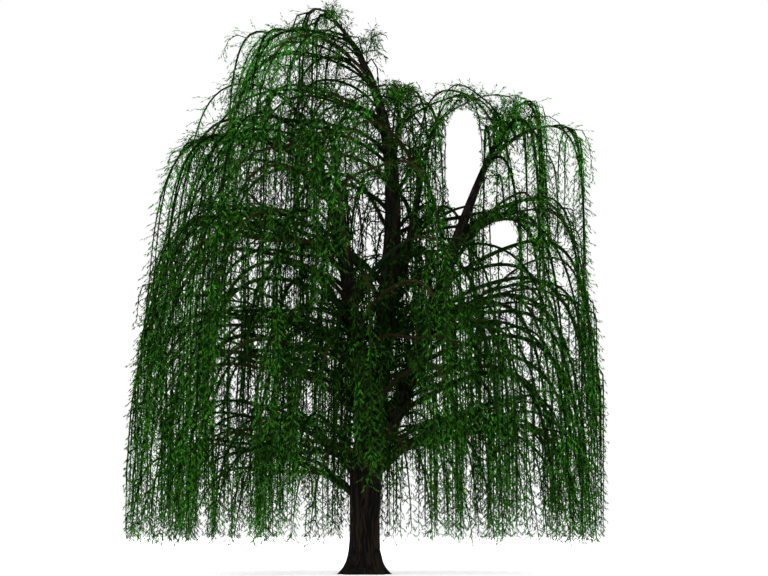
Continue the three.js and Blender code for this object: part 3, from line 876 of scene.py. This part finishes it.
# Tufts: young leafy wood that stands up round the tips of the leaders. The tall leader has
# two more on short side stems, and loose strands hang close along the leaders.
TUFT_RADIUS = 0.007
TUFT_SHOOTS = dict(out=(0.08, 0.3), lift=(0.8, 2.4), drop=(0.02, 0.25))
TUFT_RINGS = 7
SIDE_TUFTS = [
    # leader, foot height, azimuth, reach, rise, shoots in the tuft, hanging shoots
    ("leader_center", 10.6, 20, 0.08, 0.66, 11, 1),
    ("leader_center", 9.3, 10, 0.28, 0.85, 38, 5),
    ("leader_mid_right", 8.9, 250, 0.05, 0.1, 0, 5),
]
SIDE_STEM_LEAVING = 80
SIDE_STEM_ARRIVING = 40
SIDE_ASIDE = (-80, 80)
SIDE_SHOOTS = dict(out=(0.15, 0.5), lift=(0.4, 1.0), drop=(0.5, 1.5))
CLOSE_FROM = 3.6
CLOSE_BELOW_TIP = 0.3
CLOSE_ASIDE = (-20, 20)
CLOSE_SHOOTS = dict(out=(0.15, 1.05), lift=(0.4, 1.1), drop=(0.8, 3.2))


def thrown_by(rule, start, azimuth, throw, finer=False):
    out, lift, drop = throw(*rule["out"]), throw(*rule["lift"]), throw(*rule["drop"])
    return thrown(start, heading(azimuth, 0), out, lift, drop, throw, finer)


def tuft(tip, count, throw):
    """Short leafy shoots close together, to all sides of a tip."""
    made = []
    for order in range(count):
        start = along_line(tip, throw(0, 1))
        rising = thrown_by(TUFT_SHOOTS, start, GOLDEN_ANGLE * order, throw)
        made.append(shoot(rising, TUFT_RADIUS, "tuft"))
    return made


def leader_shoots(limb, line, throw):
    """A tuft at a leader's tip, side stems with tufts of their own, and close strands."""
    made = tuft(line[-TUFT_RINGS:], limb["tuft"], throw)
    for name, foot, azimuth, reach, rise, count, hanging in SIDE_TUFTS:
        if name == limb["name"]:
            start = at_height(line, foot)
            end = start + heading(azimuth, 0) * reach + (0, 0, rise)
            stem = arched(start, end, SIDE_STEM_LEAVING, SIDE_STEM_ARRIVING, 0, SHOOT_STEP)
            made.append(shoot(stem, STRAND_RADIUS, "plume", small_gaps=False))
            made += tuft(stem[-2:], count, throw)
            for _ in range(hanging):
                way = azimuth + throw(*SIDE_ASIDE)
                falling = thrown_by(SIDE_SHOOTS, stem[-1], way, throw)
                made.append(shoot(falling, STRAND_RADIUS, "plume"))
    tip_height = line[-1][2]
    count = round((tip_height - CLOSE_FROM) * limb["fringe"])
    for order in range(count):
        up = (tip_height - CLOSE_BELOW_TIP - CLOSE_FROM) * (order + throw(0, 1)) / count
        start = at_height(line, CLOSE_FROM + up)
        way = GOLDEN_ANGLE * order + throw(*CLOSE_ASIDE)
        made.append(shoot(thrown_by(CLOSE_SHOOTS, start, way, throw, True), STRAND_RADIUS))
    return made


# Leaves and twigs: short side twigs of green wood stand round every shoot, and each carries
# five or seven narrow leaves, folded along their middle, in five greens from shaded to lit.
# The greens are dealt out by spray and by place, as painted shade on the leaves inside the
# crown and painted light on those outside, high up and in the low middle.
# Each limb's foliage is two pieces: its shoots and twigs in one, and its leaves in the other.
TREE_HEIGHT = 12.1
CROWN_REACH = (5.16, 4.98)
SKIRT_SLACK = 0.02
SHORTEST_SHOOT = 0.35
BROWN_EVERY = 5
BROWN_EVERY_ON_BROWN = 3
TIP_RADIUS = 0.005
STOUT_FROM = 0.023
STOUT = (5, 0.18, 1.5)  # sides, distance between rings, taper
SLIM = (3, 0.26, 1.2)
TWIGS = {
    # Distance between twigs, their length, their angle, and share and angle of each leaf
    "strand": dict(step=0.078, length=(0.06, 0.16), angle=(24, 60), leaves=(
        (0.0, 24), (0.35, -38), (0.62, 36), (0.84, -30), (1.0, 0),
    )),
    "plume": dict(step=0.06, length=(0.08, 0.31), angle=(34, 68), leaves=(
        (0.14, 28), (0.32, -36), (0.48, 36), (0.64, -32), (0.78, 34), (0.9, -28), (1.0, 4),
    )),
    "tuft": dict(step=0.028, length=(0.05, 0.16), angle=(30, 75), leaves=(
        (0.2, 28), (0.45, -36), (0.65, 36), (0.82, -32), (1.0, 4),
    )),
}
TWIG_SEED = 7000
TWIG_RADIUS = 0.0038
TWIG_FROM = 0.35
TWIG_JITTER = 0.4
TWIG_HIGH_FROM = 7
TWIG_HIGH_LONGER = 0.35
TWIG_ROUGHNESS = 0.7
TWIG_CLEARANCE = 0.05
TWIG_TINTS = [(0.0025, 0.0062, 0.0015), (0.004, 0.0115, 0.0022), (0.016, 0.0105, 0.0062)]
TWIG_GREEN = 1
TWIG_BROWN = 2
HANGS_FROM = -0.7
LEAF_LENGTH = (0.062, 0.092)
LEAF_WIDTH = 0.285
LEAF_WIDEST = 0.42
LEAF_FOLD = 0.34
LEAF_FOLDED_WIDTH = 0.94
LEAF_JITTER = 14
LEAF_DROOP = 0.42
LEAF_ROUGHNESS = 0.55
# Five greens from shaded to lit, for the painted shade and painted light on the leaves.
LEAF_GREENS_SHADED_TO_LIT = [
    (0.0052, 0.0165, 0.0018), (0.0086, 0.032, 0.003), (0.0135, 0.056, 0.0048),
    (0.0200, 0.096, 0.0075), (0.030, 0.165, 0.012),
]
# Painted shade and light: leaves inside the crown take darker greens, and those outside, high up
# and in the low middle take lighter ones.
PAINTED_SHADE_INSIDE = 0.4
PAINTED_LIGHT_OUTWARD = 2.4
PAINTED_LIGHT_UPWARD = 0.3
PAINTED_LIGHT_HIGH_FROM = 6.5
PAINTED_LIGHT_DOWNWARD = 0.8
PAINTED_LIGHT_LOW_FROM = 2.6
PAINTED_LIGHT_LOW_FADE = 0.85
TINT_SPREAD = 0.65
SPRAY_TWIGS = 5


def inside_crown(points):
    """Whether points are inside the crown's greatest width and depth and above its skirt."""
    reach = np.hypot(points[:, 0] / CROWN_REACH[0], points[:, 1] / CROWN_REACH[1])
    height = points[:, 2]
    inside = (reach < 1) & (height > SKIRT_HEIGHT - SKIRT_SLACK) & (height < TREE_HEIGHT)
    return inside & ~in_sky(points)


def tubes(shoots):
    """Corners, faces and tints of the shoots. A brown shoot is green where it hangs."""
    corners, faces, tints = [], [], []
    count = 0
    for tint, shoot in shoots:
        sides, ring_step, taper = STOUT if shoot["thick"] > STOUT_FROM else SLIM
        length = shoot["walked"][-1]
        rings = max(int(length / ring_step), 4)
        share = np.linspace(0, 1, rings + 1)
        line = along(shoot, share * length)
        ways, side, across = framed(line)
        radius = shoot["thick"] + (TIP_RADIUS - shoot["thick"]) * share[:-1, None] ** taper
        turn = np.arange(sides) * 2 * math.pi / sides
        corners += [rings_round(line[:-1], side[:-1], across[:-1], radius, turn), line[-1:]]
        faces += ring_faces(rings, sides, count)
        last = count + (rings - 1) * sides
        faces += [[last + (k + 1) % sides, last + k, last + sides] for k in range(sides)]
        faces.append(list(range(count, count + sides)))
        hanging = ways[:-1, 2] < HANGS_FROM
        shade = np.where(hanging & (tint == TWIG_BROWN), TWIG_GREEN, tint)
        tints += np.repeat(shade[:-1], sides).tolist() + [int(shade[-1])] * (sides + 1)
        count += rings * sides + 1
    return np.concatenate(corners), faces, tints


def unit(vectors):
    return vectors / np.linalg.norm(vectors, axis=-1, keepdims=True)


def side_twigs(shoots, kind, random):
    """Root, way and length of every short side twig, standing round its shoot."""
    roots, ways, spread = [], [], []
    step = kind["step"]
    for shoot in shoots:
        length = shoot["walked"][-1]
        first = min(TWIG_FROM, 0.2 * length)
        at = np.arange(first, length, step)
        at = at + random.uniform(-TWIG_JITTER, TWIG_JITTER, len(at)) * step
        at = np.clip(at, first, length - 0.01)
        line = along(shoot, at)
        ahead = unit(along(shoot, at + 0.02) - along(shoot, at - 0.02))
        turn = math.radians(GOLDEN_ANGLE) * np.arange(len(at)) + random.uniform(0, 2 * math.pi)
        level = unit(np.cross(ahead, np.array([0.31, 0.17, 0.93])))
        out = level * np.cos(turn)[:, None] + np.cross(ahead, level) * np.sin(turn)[:, None]
        angle = np.radians(random.uniform(*kind["angle"], len(at)))[:, None]
        roots.append(line)
        ways.append(unit(ahead * np.cos(angle) + out * np.sin(angle)))
        high = topmost(line[:, 2], TWIG_HIGH_FROM)
        spread.append(random.uniform(*kind["length"], len(at)) * (1 + TWIG_HIGH_LONGER * high))
    return np.concatenate(roots), np.concatenate(ways), np.concatenate(spread)


def spikes(roots, ways, lengths, random):
    """Corners of the side twigs: three round the root of each, and its tip."""
    sides = unit(np.cross(ways, random.normal(0, 1, ways.shape)))
    ups = np.cross(sides, ways)
    return np.stack([
        roots + sides * TWIG_RADIUS,
        roots - sides * TWIG_RADIUS / 2 + ups * TWIG_RADIUS,
        roots - sides * TWIG_RADIUS / 2 - ups * TWIG_RADIUS,
        roots + ways * lengths[:, None],
    ], axis=1).reshape(-1, 3)


def leaves_on(roots, ways, lengths, places, random):
    """Corners of narrow folded leaves along each side twig, the last one at its tip."""
    parts = []
    for share, spread in places:
        base = roots + ways * (lengths * share)[:, None]
        across = unit(np.cross(ways, random.normal(0, 1, ways.shape)))
        jitter = random.uniform(-LEAF_JITTER, LEAF_JITTER, len(base))
        angle = np.radians(spread + jitter)[:, None]
        droop = np.array([0, 0, LEAF_DROOP])
        way = unit(ways * np.cos(angle) + across * np.sin(angle) - droop)
        side = unit(np.cross(way, random.normal(0, 1, way.shape)))
        fold = np.cross(side, way)
        length = random.uniform(*LEAF_LENGTH, len(base))[:, None]
        width = length * LEAF_WIDTH / 2
        widest = base + way * length * LEAF_WIDEST + fold * LEAF_FOLD * width
        half = side * LEAF_FOLDED_WIDTH * width
        parts.append(np.stack([base, widest + half, base + way * length, widest - half], axis=1))
    return np.concatenate(parts, axis=0)


def leaf_tints_painted_shade(roots, leaves_each, random):
    """Which green each leaf takes: painted shade darkens the leaves inside the crown, painted light
    lightens those outside, high up and in the low middle, and each spray adds a random tone.
    """
    outer = np.hypot(roots[:, 0], roots[:, 1]) / crown_reach(roots[:, 2])
    above = np.maximum(roots[:, 2] - PAINTED_LIGHT_HIGH_FROM, 0)
    below = np.maximum(PAINTED_LIGHT_LOW_FROM - roots[:, 2], 0)
    painted_light_and_tone = PAINTED_SHADE_INSIDE + PAINTED_LIGHT_OUTWARD * outer**2 + PAINTED_LIGHT_UPWARD * above
    painted_light_and_tone += PAINTED_LIGHT_DOWNWARD * below * (1 - PAINTED_LIGHT_LOW_FADE * np.minimum(outer, 1) ** 2)
    of_spray = random.normal(0, TINT_SPREAD, len(roots) // SPRAY_TWIGS + 1)
    painted_light_and_tone += np.repeat(of_spray, SPRAY_TWIGS)[:len(roots)]
    tints = np.clip(np.round(painted_light_and_tone), 0, len(LEAF_GREENS_SHADED_TO_LIT) - 1).astype(int)
    return np.tile(tints, leaves_each)


def joined_piece(name, corners, faces, tints, finishes):
    data = bpy.data.meshes.new(name)
    data.from_pydata(corners.tolist(), [], faces)
    for finish in finishes:
        data.materials.append(finish)
    data.polygons.foreach_set("material_index", np.asarray(tints, dtype=np.int32))
    piece = bpy.data.objects.new(name, data)
    scene.collection.objects.link(piece)
    return piece


def tint_finishes(name, colours, roughness):
    finishes = []
    for number, colour in enumerate(colours, 1):
        finish = bpy.data.materials.new(f"{name}_{number}")
        finish.use_nodes = True
        shader = finish.node_tree.nodes["Principled BSDF"]
        shader.inputs["Base Color"].default_value = opaque(colour)
        shader.inputs["Roughness"].default_value = roughness
        shader.inputs["Specular IOR Level"].default_value = 0
        finishes.append(finish)
    return finishes


leaf_finishes_shaded_to_lit = tint_finishes("leaf_green_shaded_to_lit", LEAF_GREENS_SHADED_TO_LIT, LEAF_ROUGHNESS)
twig_finishes = tint_finishes("twig_bark", TWIG_TINTS, TWIG_ROUGHNESS)

for order, limb in enumerate(sorted(limbs, key=lambda limb: limb["tip"])):
    name = limb["name"]
    line = limb_lines[name]
    stems = stem_shoots(limb, line, dice(SHOOT_SEED * (order + 1)))
    throw = dice(SHOOT_SEED * (order + 1) + FINER_SEED)
    arches = finer_boughs(limb, line, throw)
    shoots = stems + arches
    shoots += leader_shoots(limb, line, throw) if limb["leader"] else []
    shoots += plume(line, limb.get("plume", 0), throw)
    shoots += strands(stems[:1 + STEM_BRANCHES], HANGING_ON_STEM, limb["hang"], throw)
    shoots += strands(arches, HANGING_ON_FINER * len(arches), limb["hang"], throw)
    shoots = [made for made in shoots if made["walked"][-1] > SHORTEST_SHOOT]
    brown_every = BROWN_EVERY_ON_BROWN if limb.get("brown") else BROWN_EVERY
    tinted = []
    for i, made in enumerate(shoots):
        brown = made["kind"] == "plume" and i % brown_every == 0
        tinted.append((TWIG_BROWN if brown else i % 2, made))

    random = np.random.default_rng(TWIG_SEED + order)
    sprays = []
    for name_of_kind, kind in TWIGS.items():
        bearing = [made for made in shoots if made["kind"] == name_of_kind]
        if bearing:
            roots, ways, lengths = side_twigs(bearing, kind, random)
            kept = inside_crown(roots + ways * (lengths + TWIG_CLEARANCE)[:, None])
            sprays.append((roots[kept], ways[kept], lengths[kept], kind["leaves"]))
    roots, ways, lengths = [np.concatenate(part) for part in list(zip(*sprays))[:3]]

    corners, faces, tints = tubes(tinted)
    first = len(corners) + 4 * np.arange(len(roots))
    for a, b in ((0, 1), (1, 2), (2, 0)):
        faces += np.stack([first + a, first + b, first + 3], axis=1).tolist()
    tints += [TWIG_GREEN] * (3 * len(roots))
    corners = np.concatenate([corners, spikes(roots, ways, lengths, random)])
    twigs = joined_piece(f"twigs_{name}", corners, faces, tints, twig_finishes)
    on_tree(twigs, "foliage", f"foliage_{name}")

    leaves = np.concatenate([leaves_on(*spray, random) for spray in sprays])
    first = 4 * np.arange(len(leaves))[:, None]
    halves = np.concatenate([first + np.array([0, 1, 2]), first + np.array([2, 3, 0])]).tolist()
    # Each leaf's green by its place in the crown: painted shade inside, painted light outside.
    shaded_greens = [leaf_tints_painted_shade(roots, len(places), random) for roots, _, _, places in sprays]
    leafage = joined_piece(
        f"leaves_{name}", leaves.reshape(-1, 3), halves, np.concatenate(shaded_greens * 2), leaf_finishes_shaded_to_lit,
    )
    on_tree(leafage, "foliage", f"foliage_{name}")
